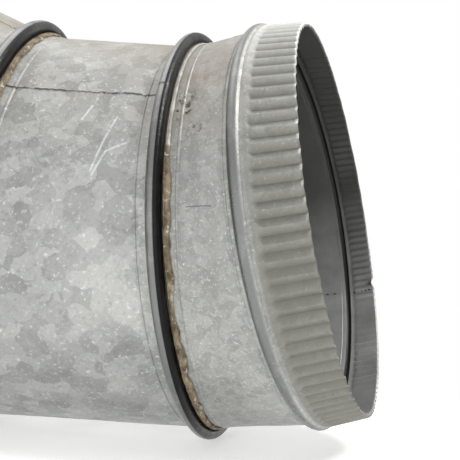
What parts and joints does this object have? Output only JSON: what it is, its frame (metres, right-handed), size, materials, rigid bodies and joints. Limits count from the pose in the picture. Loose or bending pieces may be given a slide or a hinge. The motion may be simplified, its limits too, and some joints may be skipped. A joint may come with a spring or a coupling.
{
  "type": "duct elbow",
  "caption": "Round sheet-metal duct elbow turning a quarter circle in beaded gores, with a plain end and a crimped end behind a stop bead.",
  "frame": {"origin": "centre of the plain end's rim", "axes": "+Y runs into the duct from the plain rim, the bend turns towards +X in the XY plane, +Z is square to the bend"},
  "size_m": [0.4321, 0.4422, 0.28],
  "materials": {
    "galvanised_sheet": "weathered zinc, cloudy spangle",
    "set_sealant": "matt, dirty"
  },
  "bodies": {
    "root": {"gore_1": "galvanised_sheet", "gore_2": "galvanised_sheet", "gore_3": "galvanised_sheet", "gore_4": "galvanised_sheet", "sealant_1": "set_sealant", "sealant_2": "set_sealant", "sealant_3": "set_sealant"}
  },
  "joints": []
}
